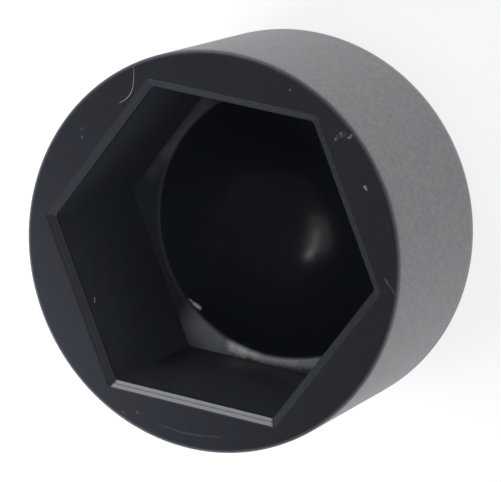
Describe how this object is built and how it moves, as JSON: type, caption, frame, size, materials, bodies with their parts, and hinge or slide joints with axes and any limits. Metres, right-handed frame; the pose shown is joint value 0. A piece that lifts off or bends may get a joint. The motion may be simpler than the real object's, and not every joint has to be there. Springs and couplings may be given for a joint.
{
  "type": "lug nut cap",
  "caption": "Round push-on plastic cap with a hexagonal pocket that covers a wheel nut, a bowl under it for the stud's end, and a low domed closed end.",
  "frame": {"origin": "middle of the domed closed end, on the small flat that it stands on", "axes": "+Z along the cap's axis, from the closed end up to the open mouth; +X square to one pair of pocket walls"},
  "size_m": [0.0254, 0.0254, 0.0179],
  "materials": {
    "shell": "black, satin inside and finely grained outside"
  },
  "bodies": {
    "root": {"cap": "shell"}
  },
  "joints": []
}
